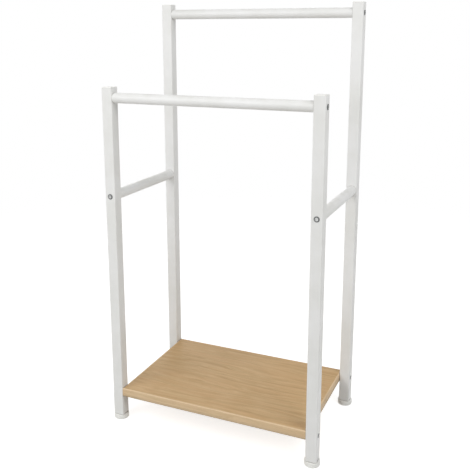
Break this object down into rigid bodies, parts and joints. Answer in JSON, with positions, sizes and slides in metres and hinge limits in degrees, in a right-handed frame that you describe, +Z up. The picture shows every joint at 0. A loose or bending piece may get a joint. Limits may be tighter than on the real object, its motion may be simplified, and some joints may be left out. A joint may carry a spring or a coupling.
{
  "type": "towel rack with shelf",
  "caption": "Free-standing two-tier towel rack: square white posts, round rails at two heights and a low shelf in oak look.",
  "frame": {"origin": "on the floor, in the middle between the four feet", "axes": "+X to the rack's right seen from the front, +Y to the back with the taller posts, +Z up"},
  "size_m": [0.448, 0.27, 0.85],
  "materials": {
    "white_powder_coat": "satin white powder coat with fine orange peel",
    "white_cap_plastic": "moulded white plastic, satin",
    "white_foot_plastic": "moulded off-white plastic, matt",
    "zinc_bush": "zinc plated, turned",
    "nickel_screw": "nickel plated",
    "particleboard": "raw pressed chips",
    "oak_skin": "light oak look, grain along X, satin",
    "oak_edge_band": "light oak look edge band, satin"
  },
  "bodies": {
    "root": {"back_left_cap": "white_cap_plastic", "back_left_foot": "white_foot_plastic", "back_left_post": "white_powder_coat", "back_left_shelf_screw": "nickel_screw", "back_right_cap": "white_cap_plastic", "back_right_foot": "white_foot_plastic", "back_right_post": "white_powder_coat", "back_right_shelf_screw": "nickel_screw", "back_towel_rail": "white_powder_coat", "back_towel_rail_left_bush": "zinc_bush", "back_towel_rail_left_screw": "nickel_screw", "back_towel_rail_right_bush": "zinc_bush", "back_towel_rail_right_screw": "nickel_screw", "front_left_cap": "white_cap_plastic", "front_left_foot": "white_foot_plastic", "front_left_post": "white_powder_coat", "front_left_shelf_screw": "nickel_screw", "front_right_cap": "white_cap_plastic", "front_right_foot": "white_foot_plastic", "front_right_post": "white_powder_coat", "front_right_shelf_screw": "nickel_screw", "front_towel_rail": "white_powder_coat", "front_towel_rail_left_bush": "zinc_bush", "front_towel_rail_left_screw": "nickel_screw", "front_towel_rail_right_bush": "zinc_bush", "front_towel_rail_right_screw": "nickel_screw", "left_side_rail": "white_powder_coat", "left_side_rail_back_bush": "zinc_bush", "left_side_rail_back_screw": "nickel_screw", "left_side_rail_front_bush": "zinc_bush", "left_side_rail_front_screw": "nickel_screw", "right_side_rail": "white_powder_coat", "right_side_rail_back_bush": "zinc_bush", "right_side_rail_back_screw": "nickel_screw", "right_side_rail_front_bush": "zinc_bush", "right_side_rail_front_screw": "nickel_screw", "shelf_back_band": "oak_edge_band", "shelf_bottom_skin": "oak_skin", "shelf_core": "particleboard", "shelf_front_band": "oak_edge_band", "shelf_left_band": "oak_edge_band", "shelf_right_band": "oak_edge_band", "shelf_top_skin": "oak_skin"}
  },
  "joints": []
}
